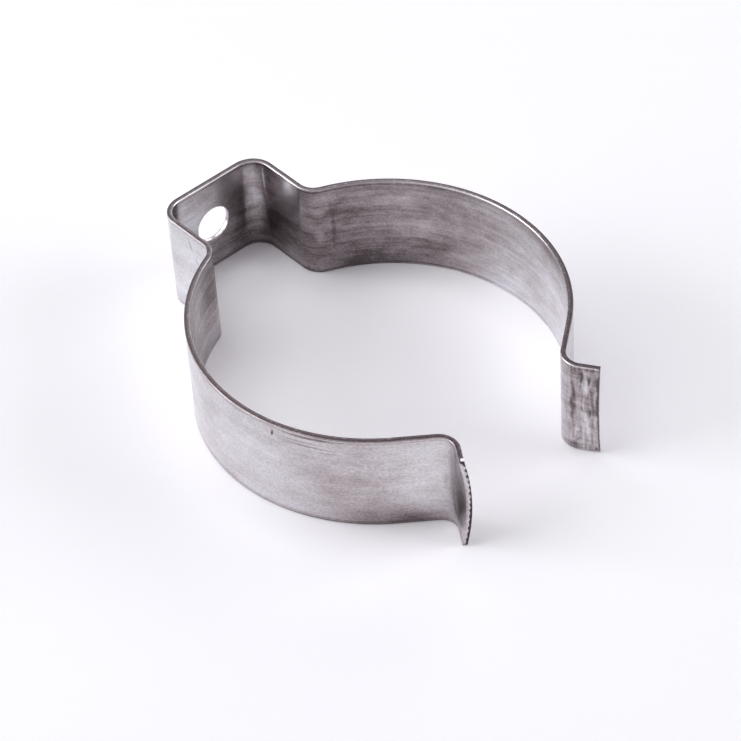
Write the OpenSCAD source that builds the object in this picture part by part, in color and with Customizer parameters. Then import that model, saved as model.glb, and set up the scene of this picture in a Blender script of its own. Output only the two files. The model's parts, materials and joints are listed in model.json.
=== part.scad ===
// Spring strip pipe clip: one strip of spring stainless steel, folded into an open ring
// with a square screw foot behind it and two turned-out lips at its mouth.
// The clip stands on one edge of its strip. The pipe's axis is Z, through the origin.
// The foot points to +Y and the mouth to -Y.

/* [Strip] */
// Width of the strip, measured along the pipe
strip_w = 15; // [10:0.5:25]
// Thickness of the strip
strip_t = 0.75; // [0.5:0.05:1.2]

/* [Ring] */
// Inside diameter of the ring when it is empty
ring_d = 49.5; // [44:0.5:56]
// Angle from the middle of the mouth to where each arm leaves the round
mouth_angle = 38; // [30:1:45]
// Straight run of each arm, between the round and the fold of its lip
arm_run = 5.5; // [3:0.25:8]

/* [Foot] */
// Outside width of the foot
foot_w = 17.5; // [15:0.5:22]
// Distance from the pipe's axis to the mounting face of the foot
foot_reach = 35.5; // [34:0.5:42]
// Inside radius of the two corners of the foot
corner_r = 2.75; // [1.5:0.25:4]
// Inside radius of the two necks where the foot opens into the ring
neck_r = 2.5; // [1.5:0.25:4]
// Diameter of the screw hole in the foot
hole_d = 5.5; // [4:0.5:7]

/* [Lips] */
// Angle through which each lip is turned out
lip_angle = 85; // [60:1:100]
// Inside radius of the fold at each lip
lip_r = 2.25; // [1:0.25:3]
// Length of each lip past its fold
lip_len = 2.75; // [1.5:0.25:5]
// Height of the bow across the cut end of each lip
lip_bow = 0.75; // [0.2:0.05:1]

/* [Hidden] */

// Smoothness of the round forms
$fn = 96;
// How far a cutter runs past the face that it cuts
margin = 1;
// Every second stretch of the strip is thinner by a hair on either face, and laps a little
// into its neighbours, so that all of them join into one solid
hair = 0.005;
run_lap = 0.08;
fold_lap = 1.5;
// Flat left along each edge of a bowed lip, and between its fold and the start of the bow
edge_flat = 0.3;
bow_start = 0.25;

ring_r = ring_d / 2;
// Flat part of the foot between its two corners
foot_flat = foot_w - 2 * (corner_r + strip_t);
// Centre of a neck: beside the leg of the foot, with its round touching the outside of the ring
neck_x = foot_w / 2 + neck_r;
neck_y = sqrt(pow(ring_r + strip_t + neck_r, 2) - pow(neck_x, 2));
// Angle of a neck's centre about the pipe's axis, from the middle of the foot
neck_angle = atan2(neck_x, neck_y);
leg_len = foot_reach - strip_t - corner_r - neck_y;
// Radius of the bow on a lip's outer face, and the slope of its crest
bow_r = (pow(strip_w / 2 - edge_flat, 2) + pow(lip_bow, 2)) / (2 * lip_bow);
bow_slope = atan(lip_bow / (lip_len - bow_start));

// The strip from the middle of the foot to the cut end of a lip. Each step is a straight run,
// then the inside radius and the angle of the fold after it. A fold towards the inner face of
// the strip has a positive angle. The last run is cut to length once the lip is bowed.
STEPS = [
    [foot_flat / 2, corner_r, 90],
    [leg_len, neck_r, neck_angle - 90],
    [0, ring_r, 180 - neck_angle - mouth_angle],
    [arm_run, lip_r, -lip_angle],
    [lip_len + margin, 0, 0]
];
LIP = len(STEPS) - 1;
RING = LIP - 2;

// Directions along the strip, and across it from its outer to its inner face
function ahead(heading) = [cos(heading), sin(heading)];
function inward(heading) = [-sin(heading), cos(heading)];

// Distance from the strip's outer face to the centre of the fold that ends a step
function fold_reach(i) = STEPS[i][2] > 0 ? STEPS[i][1] + strip_t : -STEPS[i][1];
// Heading of each step, the point on the outer face where it starts, and its fold's centre
function heading_of(i) = i == 0 ? 180 : heading_of(i - 1) + STEPS[i - 1][2];
function start_of(i) = i == 0 ? [0, foot_reach]
    : centre_of(i - 1) - fold_reach(i - 1) * inward(heading_of(i));
function centre_of(i) = start_of(i) + STEPS[i][0] * ahead(heading_of(i))
    + fold_reach(i) * inward(heading_of(i));

// Frame of a step: X runs along the strip, and Y from its outer to its inner face
module at_step(i) {
    translate(start_of(i)) rotate(heading_of(i)) children();
}

// Plan of the straight run of a step. Past the ring the runs are the thin stretches.
module run_plan(i) {
    thin = i > RING ? 1 : 0;
    at_step(i) translate([-thin * run_lap, thin * hair])
        square([STEPS[i][0] + 2 * thin * run_lap, strip_t - 2 * thin * hair]);
}

// Plan of the fold that ends a step. Up to the ring the folds are the thin stretches.
module fold_plan(i) {
    thin = i < RING ? 1 : 0;
    r = STEPS[i][1];
    angle = abs(STEPS[i][2]);
    first = STEPS[i][2] > 0 ? heading_of(i) - 90 : heading_of(i + 1) + 90;
    wedge = [for (k = [0 : 4])
        2 * (r + strip_t) * ahead(-thin * fold_lap + (angle + 2 * thin * fold_lap) * k / 4)];
    translate(centre_of(i)) rotate(first) intersection() {
        difference() {
            circle(r + strip_t - thin * hair);
            circle(r + thin * hair);
        }
        polygon(concat([[0, 0]], wedge));
    }
}

// Plan of half the folded strip
module half_plan() {
    for (i = [0 : LIP]) {
        if (STEPS[i][0] > 0) run_plan(i);
        if (i < LIP) fold_plan(i);
    }
}

// The round of the bow, with its crest at a height above the outer face where the bow starts
module bow_round(height, r) {
    translate([bow_start, height, strip_w / 2]) rotate(bow_slope) translate([-lip_len, -r, 0])
        rotate([0, 90, 0]) cylinder(r = r, h = 4 * lip_len, $fn = 192);
}

// Block round a stretch of a lip, between two heights, and wider than the strip by a side on
// either edge
module lip_block(from, to, low, high, side) {
    translate([from, low, -side]) cube([to - from, high - low, strip_w + 2 * side]);
}

// Half of the clip, with its lip bowed towards the inner face and cut to length
module half_clip() {
    crest = strip_t + lip_bow + margin;
    difference() {
        union() {
            linear_extrude(strip_w) half_plan();
            at_step(LIP) intersection() {
                bow_round(strip_t, bow_r + strip_t * cos(bow_slope));
                lip_block(bow_start / 2, lip_len + margin, strip_t / 2, crest, -edge_flat);
            }
        }
        at_step(LIP) {
            intersection() {
                bow_round(0, bow_r);
                lip_block(bow_start / 2, lip_len + margin, -margin / 2, crest, margin);
            }
            lip_block(lip_len, lip_len + 2 * margin, -margin, crest, margin);
        }
    }
}

module clip_strip() {
    color("#9c9798") difference() {
        union() {
            half_clip();
            mirror([1, 0, 0]) half_clip();
        }
        // Screw hole
        translate([0, foot_reach + margin, strip_w / 2]) rotate([90, 0, 0])
            cylinder(d = hole_d, h = strip_t + 2 * margin);
    }
}

clip_strip();
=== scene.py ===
import json
import math
from itertools import product

import bmesh
import bpy
from mathutils import Matrix, Vector


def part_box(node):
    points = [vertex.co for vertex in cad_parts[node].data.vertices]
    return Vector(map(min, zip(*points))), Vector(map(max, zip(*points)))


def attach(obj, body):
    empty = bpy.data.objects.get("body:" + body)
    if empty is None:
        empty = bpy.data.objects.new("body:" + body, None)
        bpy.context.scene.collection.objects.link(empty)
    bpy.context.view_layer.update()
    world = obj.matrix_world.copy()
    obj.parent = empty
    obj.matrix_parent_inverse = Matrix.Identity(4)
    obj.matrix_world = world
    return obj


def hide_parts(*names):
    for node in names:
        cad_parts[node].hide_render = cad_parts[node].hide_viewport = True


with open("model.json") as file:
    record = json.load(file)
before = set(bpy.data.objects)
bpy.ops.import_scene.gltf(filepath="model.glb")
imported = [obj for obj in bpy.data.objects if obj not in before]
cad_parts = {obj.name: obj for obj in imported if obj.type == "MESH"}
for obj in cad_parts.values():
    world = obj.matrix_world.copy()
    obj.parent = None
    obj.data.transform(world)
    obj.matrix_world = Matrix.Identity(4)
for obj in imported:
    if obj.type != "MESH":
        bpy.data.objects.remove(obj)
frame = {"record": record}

mm = 0.001
print("spring clip: frame loaded")
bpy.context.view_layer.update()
mounts = {m["name"]: m for m in frame["record"]["mounts"]}
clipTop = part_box("clip_strip")[1]      # y is the foot's mounting face, z the strip's upper edge


# helpers for node trees

def put(tree, node, inputs):
    # each input gets a link from another node's socket, or a plain value
    for key, value in inputs.items():
        if isinstance(value, bpy.types.NodeSocket):
            tree.links.new(value, node.inputs[key])
        else:
            node.inputs[key].default_value = value


def addNode(tree, kind, inputs=(), **settings):
    node = tree.nodes.new(kind)
    for name, value in settings.items():
        setattr(node, name, value)
    put(tree, node, dict(inputs))
    return node


def calc(tree, operation, *values):
    return addNode(tree, "ShaderNodeMath", enumerate(values), operation=operation).outputs[0]


def plus(tree, a, b):
    return calc(tree, "ADD", a, b)


def minus(tree, a, b):
    return calc(tree, "SUBTRACT", a, b)


def times(tree, a, b):
    return calc(tree, "MULTIPLY", a, b)


def ramp(tree, value, start, end, low=0.0, high=1.0, curve="SMOOTHSTEP"):
    # low at start, high at end, level beyond them
    return addNode(tree, "ShaderNodeMapRange", {
        "Value": value, "From Min": start, "From Max": end, "To Min": low, "To Max": high},
        interpolation_type=curve).outputs[0]


# camera and light

camera = {
    "azimuth": -39.0,          # turned from looking along +Y
    "elevation": 43.62,
    "roll": -4.02,
    "distance": 420.1 * mm,
    "target": (0.81 * mm, 3.56 * mm, 0.0),
    "lens": 151.3,
    "sensor": 36.0,
    "nearest": 10 * mm,        # nothing nearer to the camera is drawn
}


def lookFrom(azimuth, elevation, roll=0.0):
    turn = Matrix.Rotation(math.radians(azimuth), 4, "Z")
    tip = Matrix.Rotation(math.radians(90 - elevation), 4, "X")
    return turn @ tip @ Matrix.Rotation(math.radians(roll), 4, "Z")


def addCamera(s):
    data = bpy.data.cameras.new("photoCamera")
    data.lens = s["lens"]
    data.sensor_width = s["sensor"]
    data.clip_start = s["nearest"]
    obj = bpy.data.objects.new("photoCamera", data)
    turn = lookFrom(s["azimuth"], s["elevation"], s["roll"])
    place = Vector(s["target"]) + turn.to_3x3() @ Vector((0, 0, s["distance"]))
    obj.matrix_world = Matrix.Translation(place) @ turn
    bpy.context.scene.collection.objects.link(obj)
    bpy.context.scene.camera = obj


softbox = {"size": 0.8, "distance": 1.2}      # the same for all lamps
lamps = {
    # azimuth and elevation of each lamp seen from the clip, and its power
    "leftSoftbox": {"azimuth": -129.0, "elevation": 18.0, "power": 8.7},
    "leftHighSoftbox": {"azimuth": -129.0, "elevation": 46.0, "power": 3.6},
    "rightSoftbox": {"azimuth": 51.0, "elevation": 18.0, "power": 9.2},
    "rearSoftbox": {"azimuth": 118.0, "elevation": 18.0, "power": 3.2},
    "backSoftbox": {"azimuth": -172.0, "elevation": 66.0, "power": 4.0},
    "frontSoftbox": {"azimuth": -84.0, "elevation": 24.0, "power": 1.3},
}


def addLamp(name, s, box):
    data = bpy.data.lights.new(name, "AREA")
    data.shape = "SQUARE"
    data.size = box["size"]
    data.energy = s["power"]
    obj = bpy.data.objects.new(name, data)
    turn = lookFrom(s["azimuth"], s["elevation"])
    place = turn.to_3x3() @ Vector((0, 0, box["distance"]))
    obj.matrix_world = Matrix.Translation(place) @ turn
    bpy.context.scene.collection.objects.link(obj)


studio = {
    "floorSize": 4.0,
    "floorColour": (0.945, 0.935, 0.985, 1),
    "floorRoughness": 0.9,
    "floorSpecular": 0.1,
    "floorGlow": 0.20,            # only for the rays that see the floor
    "contactReach": 6.0 * mm,     # the glow fades where the clip stands this near
    "contactSamples": 4,
    "worldColour": (0.95, 0.96, 1.0, 1),
    "worldLevel": 0.02,
    "backdropLevel": 0.95,        # what the rays that see the world get instead
}


def seenOnly(tree, usual, seen):
    # one level for all light, and another for what the camera, metal and glass show
    rays = tree.nodes.new("ShaderNodeLightPath").outputs
    mask = rays["Is Camera Ray"]
    for name in ("Is Glossy Ray", "Is Transmission Ray"):
        mask = calc(tree, "MAXIMUM", mask, rays[name])
    return ramp(tree, mask, 0.0, 1.0, usual, seen, "LINEAR")


def addFloor(s):
    bpy.ops.mesh.primitive_plane_add(size=s["floorSize"])
    floor = bpy.context.object
    floor.name = "paleFloor"
    mat = bpy.data.materials.new("paleFloor")
    mat.use_nodes = True
    tree = mat.node_tree
    clear = addNode(tree, "ShaderNodeAmbientOcclusion", {"Distance": s["contactReach"]},
                    samples=s["contactSamples"]).outputs["AO"]
    put(tree, tree.nodes["Principled BSDF"], {
        "Base Color": s["floorColour"],
        "Roughness": s["floorRoughness"],
        "Specular IOR Level": s["floorSpecular"],
        "Emission Color": s["floorColour"],
        "Emission Strength": times(tree, seenOnly(tree, 0.0, s["floorGlow"]), clear)})
    floor.data.materials.append(mat)


def addWorld(s):
    world = bpy.data.worlds.new("paleStudio")
    world.use_nodes = True
    tree = world.node_tree
    put(tree, tree.nodes["Background"], {
        "Color": s["worldColour"],
        "Strength": seenOnly(tree, s["worldLevel"], s["backdropLevel"])})
    bpy.context.scene.world = world
    bpy.context.scene.view_settings.view_transform = "Standard"


addCamera(camera)
for lampName, lampSettings in lamps.items():
    addLamp(lampName, lampSettings, softbox)
addFloor(studio)
addWorld(studio)
print("spring clip: camera, lamps and floor placed")


# the flat blank, cut from strip and punched

strip = {
    "width": clipTop.z,
    "thickness": mounts["screw_hole"]["dims"]["length_mm"] * mm,
    "holeRadius": mounts["screw_hole"]["dims"]["r_mm"] * mm,
    "ringRadius": mounts["pipe_seat"]["dims"]["r_mm"] * mm,     # inside
    "mouthAngle": 38.0,        # from the middle of the mouth to the end of the round
    "armRun": 5.5 * mm,
    "footWidth": 17.5 * mm,
    "footReach": clipTop.y,    # from the pipe's axis to the mounting face
    "cornerRadius": 2.75 * mm,
    "neckRadius": 2.5 * mm,
    "lipAngle": 85.0,
    "lipRadius": 2.25 * mm,
    "lipLength": 2.75 * mm,
    "lipBow": 0.75 * mm,
    "edgeFlat": 0.3 * mm,      # left along each edge of a bowed lip
    "bowStart": 0.25 * mm,     # left between the fold of a lip and its bow
}


def foldSteps(s):
    # straight run, then radius of the middle of the strip and angle of the fold after it
    half = s["thickness"] / 2
    neckX = s["footWidth"] / 2 + s["neckRadius"]
    neckY = math.sqrt((s["ringRadius"] + s["thickness"] + s["neckRadius"]) ** 2 - neckX ** 2)
    neckAngle = math.degrees(math.atan2(neckX, neckY))
    legRun = s["footReach"] - s["thickness"] - s["cornerRadius"] - neckY
    footRun = s["footWidth"] / 2 - s["cornerRadius"] - s["thickness"]
    return [
        (footRun, s["cornerRadius"] + half, 90),
        (legRun, s["neckRadius"] + half, neckAngle - 90),
        (0, s["ringRadius"] + half, 180 - neckAngle - s["mouthAngle"]),
        (s["armRun"], s["lipRadius"] + half, -s["lipAngle"]),
        (s["lipLength"], 0, 0),
    ]


def foldStops(steps):
    # distances along the strip at which its runs and folds end
    stops = [0.0]
    for run, radius, angle in steps:
        if run:
            stops.append(stops[-1] + run)
        if radius:
            stops.append(stops[-1] + radius * math.radians(abs(angle)))
    return stops


def partCount(length, pitch):
    return max(1, round(length / pitch))


def foldPath(steps, reach, pitch):
    # points of the middle line from the middle of the foot to the end of the lip on +X
    here = Vector((0, reach, 0))
    heading = 0.0
    points = [here.copy()]
    for run, radius, angle in steps:
        ahead = Vector((math.cos(heading), math.sin(heading), 0))
        count = partCount(run, pitch) if run else 0
        points += [here + ahead * run * (k + 1) / count for k in range(count)]
        here = here + ahead * run
        if not radius:
            continue
        turn = -math.radians(angle)      # a fold towards the inner face turns clockwise here
        side = math.copysign(1, turn)
        centre = here + side * radius * Vector((-ahead.y, ahead.x, 0))
        count = partCount(abs(turn) * radius, pitch)
        for k in range(count):
            a = heading + turn * (k + 1) / count
            points.append(centre + side * radius * Vector((math.sin(a), -math.cos(a), 0)))
        heading += turn
        here = points[-1].copy()
    return points


blank = {
    "edgeRound": 0.17 * mm,    # rolled edges of the strip
    "endRound": 0.06 * mm,     # sheared ends
    "roundSteps": 3,
    "roundSlack": 0.01,        # share of a radius under which a point stays in place
    "holeBlock": 2.0 * mm,     # half of the square of grid that the hole takes the place of
    "holeReach": 4.6 * mm,     # half of the square in which the grid is drawn round the hole
    "holeRim": 0.12 * mm,      # width of the flat rows of faces round the hole's sharp rim
    # pitch of the grid through the strip, across it, and along each stretch of half of it
    "through": 0.0975 * mm,
    "across": 0.2 * mm,
    "along": {
        "hole": 0.25 * mm, "besideHole": 0.25 * mm, "foot": 0.25 * mm, "corner": 0.2 * mm,
        "leg": 0.5 * mm, "neck": 0.2 * mm, "ring": 0.6 * mm, "arm": 0.5 * mm,
        "lipFold": 0.2 * mm, "lip": 0.12 * mm},
    "path": 0.15 * mm,         # and of the points of the path that it is folded along
}


def spread(stops, pitches):
    # grid lines between stops, each stretch with a pitch of its own
    lines = [stops[0]]
    for start, end, pitch in zip(stops, stops[1:], pitches):
        count = partCount(end - start, pitch)
        lines += [start + (end - start) * (k + 1) / count for k in range(count)]
    return lines


def roundLines(radius, steps):
    # distances from an edge of the grid lines over its round, 15 degrees apart with three steps
    return [radius * (1 - math.tan(math.radians(45 * (1 - k / steps)))) for k in range(steps)]


def blankGrid(s, b, stops):
    width, thickness, edgeRound = s["width"], s["thickness"], b["edgeRound"]
    half, mid = stops[-1], width / 2
    steps = b["roundSteps"]
    inner = [0, b["holeBlock"], b["holeReach"]] + stops[1:-1] + [half - b["endRound"]]
    right = spread(inner, b["along"].values())
    right += [half - d for d in reversed(roundLines(b["endRound"], steps))]
    along = [-x for x in reversed(right[1:])] + right
    edge = roundLines(edgeRound, steps)
    rows = [edgeRound, mid - b["holeReach"], mid - b["holeBlock"],
            mid + b["holeBlock"], mid + b["holeReach"], width - edgeRound]
    across = edge + spread(rows, [b["across"]] * len(rows)) + [width - d for d in reversed(edge)]
    through = edge + spread([edgeRound, thickness - edgeRound], [b["through"]])
    through += [thickness - d for d in reversed(edge)]
    return along, across, [y - thickness / 2 for y in through]


def blankPoint(x, y, z, s, b, half):
    # where a grid point goes: onto the rounded edges and ends, and in the foot round the hole
    width, thickness = s["width"], s["thickness"]
    radii = Vector((b["endRound"], b["edgeRound"], b["edgeRound"]))
    low, high = Vector((-half, -thickness / 2, 0)), Vector((half, thickness / 2, width))
    core = Vector([min(max(c, l + r), h - r)
                   for c, l, h, r in zip((x, y, z), low, high, radii)])
    out = Vector([(c - i) / r for c, i, r in zip((x, y, z), core, radii)])
    point = Vector((x, y, z))
    if out.length > b["roundSlack"]:
        out.normalize()
        point = Vector([i + r * c for i, r, c in zip(core, radii, out)])
    dx, dz = x, z - width / 2
    square = max(abs(dx), abs(dz))
    if square < b["holeReach"]:
        share = (square - b["holeBlock"]) / (b["holeReach"] - b["holeBlock"])
        depth = max(0, abs(y) - (thickness / 2 - b["holeRim"]))
        rim = b["holeRim"] - math.sqrt(max(0, b["holeRim"] ** 2 - depth ** 2))
        size = math.hypot(dx, dz)
        reach = (1 - share) * (s["holeRadius"] + rim) + share * size * b["holeReach"] / square
        point.x = dx / size * reach
        point.z = width / 2 + dz / size * reach
    return point


def cutBlank(s, b, half, stops):
    along, across, through = blankGrid(s, b, stops)
    nx, nz, ny = len(along) - 1, len(across) - 1, len(through) - 1

    def solid(i, j):
        if not (0 <= i < nx and 0 <= j < nz):
            return False
        x, z = (along[i] + along[i + 1]) / 2, (across[j] + across[j + 1]) / 2 - s["width"] / 2
        return max(abs(x), abs(z)) > b["holeBlock"]

    points, places = [], {}

    def corner(i, j, k):
        if (i, j, k) not in places:
            places[i, j, k] = len(points)
            points.append(blankPoint(along[i], through[k], across[j], s, b, half))
        return places[i, j, k]

    faces = []
    for i, j in product(range(nx), range(nz)):
        if not solid(i, j):
            continue
        square = [(i, j), (i + 1, j), (i + 1, j + 1), (i, j + 1)]
        faces.append([corner(*c, 0) for c in square])
        faces.append([corner(*c, ny) for c in reversed(square)])
        beside = [(i, j - 1), (i + 1, j), (i, j + 1), (i - 1, j)]
        for side, other in enumerate(beside):
            if solid(*other):
                continue
            a, c = square[side], square[(side + 1) % 4]
            for k in range(ny):
                faces.append([corner(*c, k), corner(*a, k), corner(*a, k + 1), corner(*c, k + 1)])
    mesh = bpy.data.meshes.new("flatBlank")
    mesh.from_pydata(points, [], faces)
    bm = bmesh.new()
    bm.from_mesh(mesh)
    bmesh.ops.recalc_face_normals(bm, faces=bm.faces)
    bm.to_mesh(mesh)
    bm.free()
    print(f"spring clip: blank {2 * half / mm:.1f} mm long, {len(faces)} faces")
    return mesh


# Geometry Nodes: the cut ends, the bow of the lips and the folds

ends = {
    "burnish": 0.40,           # share of the thickness that the shear left smooth
    "toothPitch": 1.03 * mm,
    "toothDepth": 0.07 * mm,
    "toothShare": 0.22,        # how far the teeth reach, as a share of the thickness
    "ragged": {"scale": 1100.0, "detail": 2.0, "share": 1.1},      # how much they differ
    "grain": {"scale": 4000.0, "detail": 1.0},      # of the torn metal
    "single": (5.0 * mm, 11.0 * mm),       # one torn band below, single long teeth above
    "singleBurnish": 0.12,                 # more of the thickness is smooth up there
    "corner": (14.5 * mm, 14.9 * mm),      # the upper corner is torn more
    "cornerTorn": 0.7,
    "soft": 0.03,                          # half width of the band's outline
    "setsIn": (0.12 * mm, 0.07 * mm),      # distances from the cut at which the tear begins
    "seed": 4.0,
}


def cutInputs(s, e):
    # inputs of the torn band, the same for the folded shape and for the material
    return {"Thickness": s["thickness"], "Burnish": e["burnish"], "Tooth Pitch": e["toothPitch"],
            "Tooth Share": e["toothShare"], "Seed": e["seed"]}


def tornBand(tree, x, y, z, toEnd, given, e):
    # 1 where the shear tore the metal of a cut end, with teeth reaching into the smooth band
    where = addNode(tree, "ShaderNodeCombineXYZ",
                    {"X": calc(tree, "SIGN", x), "Y": given["Seed"], "Z": z}).outputs[0]
    r = e["ragged"]
    ragged = addNode(tree, "ShaderNodeTexNoise",
                     {"Vector": where, "Scale": r["scale"], "Detail": r["detail"]}).outputs[0]
    # up to half and back over each tooth
    zigzag = calc(tree, "PINGPONG", calc(tree, "DIVIDE", z, given["Tooth Pitch"]), 0.5)
    tooth = plus(tree, times(tree, zigzag, 2.0),
                 times(tree, minus(tree, ragged, 0.5), r["share"]))
    single = ramp(tree, z, *e["single"])
    reach = times(tree, given["Tooth Share"], plus(tree, 1.0, single))
    start = plus(tree, given["Burnish"], times(tree, single, e["singleBurnish"]))
    start = minus(tree, start, times(tree, ramp(tree, z, *e["corner"]), e["cornerTorn"]))
    limit = plus(tree, start, times(tree, tooth, reach))
    share = plus(tree, calc(tree, "DIVIDE", y, given["Thickness"]), 0.5)
    torn = ramp(tree, minus(tree, share, limit), -e["soft"], e["soft"])
    return times(tree, torn, ramp(tree, toEnd, *e["setsIn"], curve="LINEAR"))


def foldTree(e):
    tree = bpy.data.node_groups.new("foldStrip", "GeometryNodeTree")
    kinds = {"Geometry": "Geometry", "Path": "Object", "Material": "Material"}
    for name in ("Geometry", "Path", "Material", "Half Length", "Width", "Thickness",
                 "Bow Height", "Bow Length", "Edge Flat", "Tooth Pitch", "Tooth Depth",
                 "Burnish", "Tooth Share", "Seed"):
        tree.interface.new_socket(
            name, in_out="INPUT", socket_type="NodeSocket" + kinds.get(name, "Float"))
    tree.interface.new_socket("Geometry", in_out="OUTPUT", socket_type="NodeSocketGeometry")
    given = tree.nodes.new("NodeGroupInput").outputs

    place = addNode(tree, "GeometryNodeInputPosition").outputs[0]
    kept = addNode(tree, "GeometryNodeStoreNamedAttribute",
                   {"Geometry": given["Geometry"], "Name": "blank", "Value": place},
                   data_type="FLOAT_VECTOR", domain="POINT")
    flat = addNode(tree, "ShaderNodeSeparateXYZ", {"Vector": place}).outputs
    x, y, z = flat["X"], flat["Y"], flat["Z"]
    toEnd = minus(tree, given["Half Length"], calc(tree, "ABSOLUTE", x))

    # torn band of a cut end, with teeth along its edge
    torn = tornBand(tree, x, y, z, toEnd, given, e)
    g = e["grain"]
    grain = addNode(tree, "ShaderNodeTexNoise",
                    {"Vector": place, "Scale": g["scale"], "Detail": g["detail"]}).outputs[0]
    bite = times(tree, torn, times(tree, given["Tooth Depth"], plus(tree, 0.5, grain)))
    x = minus(tree, x, times(tree, calc(tree, "SIGN", x), bite))

    # bow of a lip: full at its cut end, none at its fold and its two edges
    rise = ramp(tree, toEnd, given["Bow Length"], 0.0, curve="LINEAR")
    half = calc(tree, "DIVIDE", given["Width"], 2.0)
    fromMid = calc(tree, "DIVIDE", minus(tree, z, half), minus(tree, half, given["Edge Flat"]))
    crown = calc(tree, "MAXIMUM", minus(tree, 1.0, times(tree, fromMid, fromMid)), 0.0)
    y = plus(tree, y, times(tree, times(tree, rise, crown), given["Bow Height"]))

    # fold: each point goes beside the path, square to it
    path = addNode(tree, "GeometryNodeObjectInfo", {"Object": given["Path"]},
                   transform_space="RELATIVE").outputs["Geometry"]
    onPath = addNode(tree, "GeometryNodeSampleCurve",
                     {"Curves": path, "Length": plus(tree, x, given["Half Length"])},
                     mode="LENGTH", use_all_curves=True).outputs
    ahead = addNode(tree, "ShaderNodeSeparateXYZ", {"Vector": onPath["Tangent"]}).outputs
    foot = addNode(tree, "ShaderNodeSeparateXYZ", {"Vector": onPath["Position"]}).outputs
    folded = addNode(tree, "ShaderNodeCombineXYZ", {
        "X": plus(tree, foot["X"], times(tree, y, ahead["Y"])),
        "Y": minus(tree, foot["Y"], times(tree, y, ahead["X"])),
        "Z": z}).outputs[0]
    shape = addNode(tree, "GeometryNodeSetPosition",
                    {"Geometry": kept.outputs[0], "Position": folded}).outputs[0]
    # the fold mirrors the faces, so they are turned
    shape = addNode(tree, "GeometryNodeFlipFaces", {"Mesh": shape}).outputs[0]
    shape = addNode(tree, "GeometryNodeSetShadeSmooth",
                    {"Geometry": shape, "Shade Smooth": True}).outputs[0]
    shape = addNode(tree, "GeometryNodeRealizeInstances", {"Geometry": shape}).outputs[0]
    shape = addNode(tree, "GeometryNodeSetMaterial",
                    {"Geometry": shape, "Material": given["Material"]}).outputs[0]
    addNode(tree, "NodeGroupOutput", {0: shape})
    return tree


def pathObject(points):
    data = bpy.data.curves.new("foldPath", "CURVE")
    data.dimensions = "3D"
    spline = data.splines.new("POLY")
    spline.points.add(len(points) - 1)
    for spot, point in zip(spline.points, points):
        spot.co = (*point, 1)
    obj = bpy.data.objects.new("foldPath", data)
    bpy.context.scene.collection.objects.link(obj)
    return obj


def foldStrip(s, b, e, material):
    steps = foldSteps(s)
    stops = foldStops(steps)
    half = stops[-1]
    flat = bpy.data.objects.new("flatBlank", cutBlank(s, b, half, stops))
    bpy.context.scene.collection.objects.link(flat)
    farHalf = foldPath(steps, s["footReach"] - s["thickness"] / 2, b["path"])
    nearHalf = [Vector((-p.x, p.y, 0)) for p in reversed(farHalf[1:])]
    path = pathObject(nearHalf + farHalf)
    values = cutInputs(s, e) | {
        "Path": path, "Material": material, "Half Length": half, "Width": s["width"],
        "Bow Height": s["lipBow"], "Bow Length": s["lipLength"] - s["bowStart"],
        "Edge Flat": s["edgeFlat"], "Tooth Depth": e["toothDepth"],
    }
    modifier = flat.modifiers.new("foldStrip", "NODES")
    modifier.node_group = foldTree(e)
    for socket in modifier.node_group.interface.items_tree:
        if socket.in_out == "INPUT" and socket.name in values:
            modifier[socket.identifier] = values[socket.name]
    bpy.context.view_layer.update()
    graph = bpy.context.evaluated_depsgraph_get()
    shape = bpy.data.meshes.new_from_object(flat.evaluated_get(graph))
    shape.name = "springStrip"
    for spare in (flat, path):
        bpy.data.objects.remove(spare)
    clip = bpy.data.objects.new("springStrip", shape)
    bpy.context.scene.collection.objects.link(clip)
    return clip


# satin rolled spring steel

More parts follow.
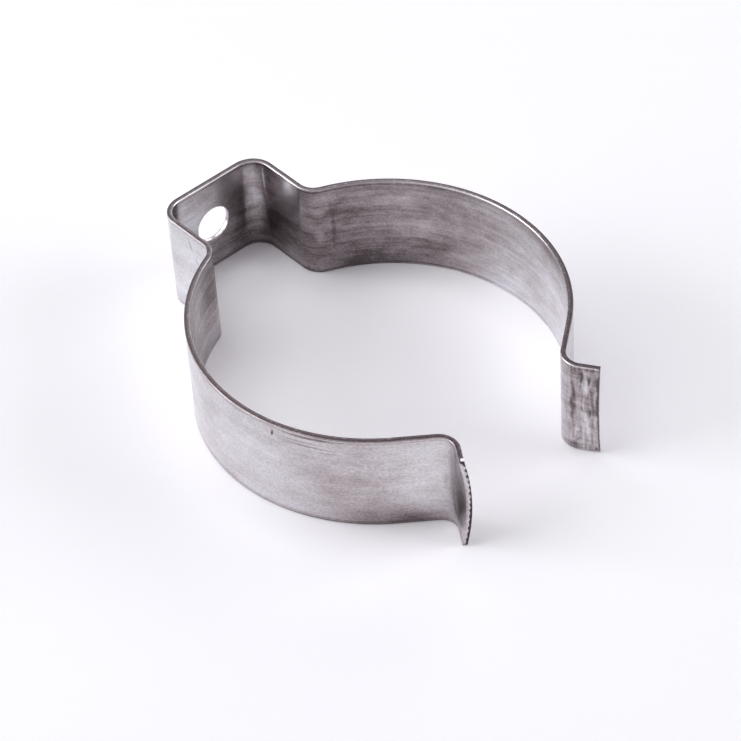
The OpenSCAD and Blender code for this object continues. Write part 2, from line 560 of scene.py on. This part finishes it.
steel = {
    "tones": [(0.0, (0.14, 0.114, 0.118, 1)), (0.5, (0.45, 0.40, 0.41, 1)),
              (1.0, (0.76, 0.76, 0.787, 1))],
    "faceTone": (0.72, 0.50),              # outer face, inner face; the inner face is painted darker, as shade inside the ring
    "faceBlend": 0.1 * mm,                 # the two meet this near to the middle of the metal
    "roughness": (0.31, 0.19),             # of dull and of bright metal
    "roughTones": (0.2, 0.8),              # the tones that have them
    "edgeRough": 0.10,                     # more on the slit edges and beside them
    "tornRough": 0.3,
    "anisotropy": 0.6,
    "anisotropyTurn": 0.25,                # the gloss spreads across the rolling
    "bumpStrength": 0.14,
    "bumpHeight": 0.004 * mm,
    "throughScale": 3000,                  # of every pattern, through the metal
    # size of each pattern in mm along and across the strip, its detail, and its share of the
    # tone on the outer and on the inner face
    "patterns": {
        "rollLines": {"along": 18.0, "across": 0.30, "detail": 3, "share": (0.16, 0.34)},
        "rollBands": {"along": 45.0, "across": 1.7, "detail": 3, "share": (0.25, 0.75)},
        "clouds": {"along": 6.5, "across": 4.2, "detail": 5, "share": (0.55, 0.55)},
        "patches": {"along": 2.2, "across": 0.9, "detail": 3, "share": (0.25, 0.50)},
        "mottle": {"along": 0.42, "across": 0.28, "detail": 3, "share": (0.60, 0.50)},
        "rubbing": {"along": 0.45, "across": 3.0, "detail": 4, "share": (0.0, 1.5),
                    "setsIn": (78.5 * mm, 80.5 * mm)},    # only on the turned-out lips
    },
    # slit edges: distances from the edge at which each look sets in and is full
    "edgeShadeColours": [(0.065, 0.050, 0.055, 1), (0.105, 0.082, 0.090, 1)],      # painted shade for the dark the slit edges reflect, on darker cut metal; outer, inner half
    "edge": (0.06 * mm, 0.02 * mm),
    "rollOver": (0.26 * mm, 0.18 * mm),    # smooth strip beside the edge
    "rollOverShade": (0.45, -0.30),        # painted shade on the outer face, painted highlight on the inner
    "darkLineSides": ((0.30 * mm, 0.42 * mm), (0.70 * mm, 0.46 * mm)),      # painted dark line behind the roll-over, its two sides
    "darkLineShade": 0.22,
    "edgeGrain": {"along": 0.35, "across": 0.35, "detail": 3, "levels": (0.5, 0.75)},
    "grainPaler": 0.30,
    "paleFoot": (50.0 * mm, 22.0 * mm),    # the edges are paler near the foot
    "footPaler": 0.14,
    "tornColour": (0.075, 0.06, 0.065, 1),
    "tornInset": 0.05 * mm,                # from the inner face
    # painted highlight on the burr above the near lip's cut end, in mm; core is the share that is
    # fully bright
    "burrHighlight": {"along": -83.4, "across": 15.0, "depth": 0.13, "size": 0.33, "core": 0.7},
    # how deep a mark reaches, the share of its size that is full, and the outline of wide ones
    "markDepth": 0.4 * mm,
    "markCore": 0.1,
    "wideMark": 0.45,                      # in mm
    "wander": {"scale": 700.0, "detail": 2.0, "reach": (1.2 * mm, 0, 1.0 * mm)},
}

# place along and across the strip in mm, face, half sizes, turn in degrees, and change of tone.
# Places along the strip are negative on the half with the near arm.
marks = [
    # outer face of the near leg
    (-14.0, 7.5, "outer", 12.0, 90.0, 0, 0.16),       # painted light all over the leg's outer face
    (-13.7, 13.0, "outer", 0.22, 1.5, 20, -0.55),     # scratches
    (-14.8, 10.6, "outer", 0.2, 1.0, 25, -0.5),       # scratches
    # near arc
    (-56.0, 13.5, "outer", 0.28, 0.75, -15, -1.0),    # nick
    (-50.0, 8.0, "outer", 9.0, 9.0, 0, 0.12),
    (-51.0, 1.0, "outer", 4.5, 1.6, 0, 0.15),
    # near arm
    (-66.0, 0.0, "outer", 20.0, 0.42, 0, -0.35),      # painted contact shade along the lower edge
    # painted shade low on the arm, where it reflects the shaded floor beside it
    (-71.0, 1.3, "outer", 10.5, 2.6, 0, -0.34),
    (-75.0, 0.8, "outer", 5.4, 2.0, 0, -0.26),
    (-67.0, 6.0, "outer", 11.0, 12.0, 0, -0.2),       # darker all over the arm
    (-78.4, 7.6, "outer", 0.55, 2.4, 0, -0.12),
    (-73.5, 7.5, "outer", 5.0, 3.6, 0, 0.1),
    (-61.0, 14.4, "outer", 5.5, 0.34, 0, -0.55),      # roller lines beside the upper edge
    (-60.0, 13.0, "outer", 4.5, 0.3, 0, -0.3),
    (-60.0, 13.5, "outer", 5.0, 0.16, 0, -0.35),
    (-62.0, 12.9, "outer", 3.5, 0.13, 0, -0.3),
    (-63.5, 12.3, "outer", 2.5, 0.13, 0, -0.3),
    (-58.0, 12.6, "outer", 2.0, 0.1, 0, -0.25),
    (-57.0, 14.0, "outer", 3.0, 0.12, 0, -0.25),
    # near lip
    (-82.2, 6.0, "outer", 3.4, 12.0, 0, -0.45),       # painted shade all over the lip
    # more painted shade, darkest low on the lip
    (-82.0, 2.6, "outer", 1.6, 1.4, 0, -0.3),
    (-82.3, 6.4, "outer", 1.8, 5.8, 0, -0.34),
    (-83.2, 1.8, "outer", 1.0, 2.4, 0, 0.26),
    # inner face of the foot, its corners and the near neck
    (-3.0, 11.0, "inner", 9.5, 9.0, 0, 0.56),         # painted light beside the near corner
    (8.1, 10.6, "inner", 2.9, 7.8, 0, 0.6),           # painted highlight along the far corner
    (4.4, 3.2, "inner", 1.9, 4.5, 0, -0.12),
    (8.0, 1.2, "inner", 6.0, 2.8, 0, -0.12),
    (-20.5, 10.0, "inner", 5.5, 8.5, 0, -0.5),        # darker on the inner face of the near neck
    (3.6, 13.2, "inner", 4.4, 3.4, 0, 0.5),           # paler above the hole
    (-2.6, 13.2, "inner", 3.2, 2.4, 0, -0.26),
    (-6.4, 13.2, "inner", 1.6, 2.4, 0, -0.28),
    # far leg and neck
    (13.0, 7.5, "inner", 35.0, 90.0, 0, -0.37),       # painted shade from the near neck to the far arc
    (12.0, 3.8, "inner", 3.2, 6.0, 0, -0.06),
    (14.0, 12.0, "inner", 6.4, 5.8, 0, 0.58),
    (12.6, 14.9, "inner", 4.2, 0.6, 0, 0.6),          # painted highlight along the upper edge
    (21.0, 0.0, "inner", 20.0, 0.42, 0, -0.6),        # painted contact shade along the lower edge
    (20.0, 13.0, "inner", 2.4, 2.8, 0, 0.24),
    (21.1, 7.8, "inner", 0.5, 5.6, 0, -0.2),          # painted shade in the crease where the neck ends
    (14.3, 13.3, "inner", 1.6, 2.2, 15, 0.55),        # lighter places
    (16.8, 10.5, "inner", 0.6, 1.3, 20, 0.3),
    (19.2, 10.6, "inner", 1.0, 1.0, 0, 0.18),
    (19.2, 6.5, "inner", 1.0, 2.0, 0, 0.25),
    # far arc
    (33.5, 8.5, "inner", 5.0, 6.0, 0, 0.12),
    (42.0, 8.0, "inner", 6.0, 7.0, 0, -0.12),
    (30.4, 11.0, "inner", 4.4, 2.8, 0, 0.28),
    (25.8, 11.8, "inner", 4.5, 2.4, 0, 0.2),
    (35.5, 3.8, "inner", 5.4, 2.6, 0, -0.24),
    (44.5, 4.8, "inner", 4.0, 3.0, 0, 0.18),
    (26.0, 14.9, "inner", 11.0, 0.5, 0, -0.2),        # darker upper edge
    # painted shade low on the far arc, near the floor
    (27.0, 1.4, "inner", 8.0, 2.6, 0, -0.12),
    (29.0, 9.9, "inner", 11.0, 0.55, 0, -0.14),       # roller stains
    (34.0, 5.9, "inner", 15.0, 0.6, 0, -0.1),         # roller stains
    (32.0, 12.0, "inner", 6.0, 0.9, 0, 0.12),
    # painted shade low on the far arc, near the floor
    (24.0, 1.6, "inner", 4.5, 2.4, 0, -0.18),
    (34.5, 1.6, "inner", 5.0, 2.4, 0, -0.14),
    (49.0, 2.0, "inner", 6.0, 3.5, 0, 0.2),
    (45.0, 0.7, "inner", 7.0, 1.4, 0, 0.26),
    # far arm
    (63.0, 7.5, "inner", 25.0, 90.0, 0, 0.36),        # painted light from the far arc to the lip
    (65.0, 14.9, "inner", 9.0, 0.5, 0, -0.35),        # darker upper edge
    (54.0, 14.0, "inner", 9.0, 1.4, 0, -0.25),
    (59.0, 13.0, "inner", 8.0, 5.0, 0, -0.3),
    # far lip
    (82.0, 14.9, "inner", 3.0, 0.5, 0, -0.3),         # darker upper edge
    (81.55, 13.7, "inner", 0.28, 1.3, -3, -0.7),
    (81.45, 12.6, "inner", 0.24, 0.9, 4, -0.7),
    (81.35, 11.6, "inner", 0.22, 0.7, 8, -0.3),
    (81.5, 7.7, "inner", 0.22, 0.8, 0, -0.5),
    (82.55, 12.9, "inner", 0.35, 1.4, 6, -0.5),
    (82.7, 11.2, "inner", 0.25, 0.8, 6, -0.4),
    (82.7, 7.4, "inner", 0.25, 1.1, 6, -0.5),
    (84.0, 8.5, "inner", 0.55, 9.0, 0, -0.7),         # darker towards the cut end
    (83.8, 12.8, "inner", 0.8, 2.8, 0, -0.5),
    (82.4, 14.4, "inner", 1.1, 0.8, 0, -0.35),
    (80.35, 8.6, "inner", 0.7, 6.0, 0, -0.44),
    (82.9, 9.0, "inner", 1.2, 5.0, 0, -0.2),
    (80.6, 14.1, "inner", 1.2, 0.9, 0, -0.4),
    (81.0, 0.9, "inner", 2.2, 0.8, 0, -0.4),
    (81.0, 1.9, "inner", 0.18, 1.1, 35, -0.3),
    (83.5, 0.7, "inner", 0.3, 0.6, 0, -0.6),
    (82.1, 11.4, "inner", 0.55, 2.0, 0, 0.4),
    (82.1, 4.8, "inner", 0.9, 3.2, 0, 0.35),
]


def byFace(tree, inside, pair):
    outer, inner = pair
    return plus(tree, outer, times(tree, inside, inner - outer))


def patternNoise(tree, place, p, throughScale):
    scale = (1 / (p["along"] * mm), throughScale, 1 / (p["across"] * mm))
    where = addNode(tree, "ShaderNodeMapping", {"Vector": place, "Scale": scale}).outputs[0]
    return addNode(tree, "ShaderNodeTexNoise",
                   {"Vector": where, "Scale": 1.0, "Detail": p["detail"]}).outputs[0]


def patternTone(tree, noises, fromFoot, inside, s):
    # the inner face's lower tone is painted shade
    tone = byFace(tree, inside, s["faceTone"])
    for name, p in s["patterns"].items():
        share = byFace(tree, inside, p["share"])
        if "setsIn" in p:
            share = times(tree, share, ramp(tree, fromFoot, *p["setsIn"]))
        tone = plus(tree, tone, times(tree, minus(tree, noises[name], 0.5), share))
    return tone


def wanderPlace(tree, place, w):
    # places moved about at random, for the wandering outlines of wide marks
    noise = addNode(tree, "ShaderNodeTexNoise",
                    {"Vector": place, "Scale": w["scale"], "Detail": w["detail"]})
    shift = addNode(tree, "ShaderNodeVectorMath",
                    {0: noise.outputs["Color"], 1: (0.5, 0.5, 0.5)}, operation="SUBTRACT")
    shift = addNode(tree, "ShaderNodeVectorMath",
                    {0: shift.outputs[0], 1: w["reach"]}, operation="MULTIPLY")
    return addNode(tree, "ShaderNodeVectorMath", {0: place, 1: shift.outputs[0]}).outputs[0]


def markTone(tree, place, wandering, mark, s):
    along, across, face, halfAlong, halfAcross, turn, change = mark
    depth = strip["thickness"] / 2 * (1 if face == "inner" else -1)
    where = addNode(tree, "ShaderNodeMapping", {
        "Vector": wandering if min(halfAlong, halfAcross) > s["wideMark"] else place,
        "Location": (along * mm, depth, across * mm),
        "Rotation": (0, math.radians(turn), 0),
        "Scale": (halfAlong * mm, s["markDepth"], halfAcross * mm)}, vector_type="TEXTURE")
    away = addNode(tree, "ShaderNodeVectorMath", {0: where.outputs[0]}, operation="LENGTH")
    return ramp(tree, away.outputs["Value"], 1.0, s["markCore"], 0.0, change)


def slitEdges(tree, place, z, fromFoot, inside, s):
    # the edge itself, which gets painted shade, the smooth roll-over of the shear beside it, and
    # the painted shade and highlight of both faces there, with a painted dark line behind the
    # roll-over
    mid = strip["width"] / 2
    inset = minus(tree, mid, calc(tree, "ABSOLUTE", minus(tree, z, mid)))
    onEdge = ramp(tree, inset, *s["edge"])
    rolled = ramp(tree, inset, *s["rollOver"])
    darkLine = times(tree, *[ramp(tree, inset, *side) for side in s["darkLineSides"]])
    shade = plus(tree, times(tree, rolled, byFace(tree, inside, s["rollOverShade"])),
                 times(tree, darkLine, s["darkLineShade"]))
    grain = patternNoise(tree, place, s["edgeGrain"], s["throughScale"])
    paler = plus(tree, times(tree, ramp(tree, fromFoot, *s["paleFoot"]), s["footPaler"]),
                 times(tree, ramp(tree, grain, *s["edgeGrain"]["levels"]), s["grainPaler"]))
    return onEdge, rolled, shade, times(tree, onEdge, minus(tree, 1.0, paler))


def cutEnds(tree, spot, fromFoot, s):
    toEnd = minus(tree, foldStops(foldSteps(strip))[-1], fromFoot)
    torn = tornBand(tree, spot["X"], spot["Y"], spot["Z"], toEnd, cutInputs(strip, ends), ends)
    innerFace = strip["thickness"] / 2
    return times(tree, torn, ramp(tree, spot["Y"], innerFace, innerFace - s["tornInset"]))


# painted highlight on a burr at a cut end
def paintBurrHighlight(tree, place, c):
    centre = (c["along"] * mm, c["depth"] * mm, c["across"] * mm)
    away = addNode(tree, "ShaderNodeVectorMath", {0: place, 1: centre}, operation="DISTANCE")
    return ramp(tree, away.outputs["Value"], c["size"] * mm, c["size"] * c["core"] * mm)


def blend(tree, share, a, b):
    mix = addNode(tree, "ShaderNodeMix", {"Factor": share, "A": a, "B": b}, data_type="RGBA")
    return mix.outputs["Result"]


def toneColour(tree, tone, tones):
    node = addNode(tree, "ShaderNodeValToRGB", {"Fac": tone})
    stops = node.color_ramp.elements
    for at, _ in tones[1:-1]:
        stops.new(at)
    for stop, (at, colour) in zip(stops, tones):
        stop.position, stop.color = at, colour
    return node.outputs["Color"]


def steelMaterial(s):
    mat = bpy.data.materials.new("satinSpringSteel")
    mat.use_nodes = True
    tree = mat.node_tree
    place = addNode(tree, "ShaderNodeAttribute", attribute_name="blank").outputs["Vector"]
    spot = addNode(tree, "ShaderNodeSeparateXYZ", {"Vector": place}).outputs
    fromFoot = calc(tree, "ABSOLUTE", spot["X"])
    # 0 on the outer face, 1 on the inner one
    inside = ramp(tree, spot["Y"], -s["faceBlend"], s["faceBlend"])

    noises = {name: patternNoise(tree, place, p, s["throughScale"])
              for name, p in s["patterns"].items()}
    tone = patternTone(tree, noises, fromFoot, inside, s)
    wandering = wanderPlace(tree, place, s["wander"])
    for mark in marks:
        tone = plus(tree, tone, markTone(tree, place, wandering, mark, s))
    onEdge, rolled, shade, edgeShare = slitEdges(tree, place, spot["Z"], fromFoot, inside, s)
    # painted highlight on the burr above the near lip's cut end
    burrHighlight = paintBurrHighlight(tree, place, s["burrHighlight"])
    offHighlight = minus(tree, 1.0, burrHighlight)
    torn = times(tree, cutEnds(tree, spot, fromFoot, s), offHighlight)
    tone = plus(tree, minus(tree, tone, shade), burrHighlight)

    # the slit edges take their colour with painted shade, except under the painted burr highlight
    colour = blend(tree, times(tree, edgeShare, offHighlight), toneColour(tree, tone, s["tones"]),
                   blend(tree, inside, *s["edgeShadeColours"]))
    rough = ramp(tree, tone, *s["roughTones"], *s["roughness"], "LINEAR")
    rough = plus(tree, rough, times(tree, plus(tree, rolled, onEdge), s["edgeRough"]))
    bump = addNode(tree, "ShaderNodeBump", {
        "Height": noises["rollLines"], "Strength": s["bumpStrength"], "Distance": s["bumpHeight"]})
    tangent = addNode(tree, "ShaderNodeTangent", direction_type="RADIAL", axis="Z")
    put(tree, tree.nodes["Principled BSDF"], {
        "Base Color": blend(tree, torn, colour, s["tornColour"]),
        "Metallic": 1.0,
        "Roughness": plus(tree, rough, times(tree, torn, s["tornRough"])),
        "Anisotropic": s["anisotropy"],
        "Anisotropic Rotation": s["anisotropyTurn"],
        "Tangent": tangent.outputs[0],
        "Normal": bump.outputs[0]})
    return mat


clip = foldStrip(strip, blank, ends, steelMaterial(steel))
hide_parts("clip_strip")
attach(clip, "root")
print(f"spring clip: folded, {len(clip.data.polygons)} faces")
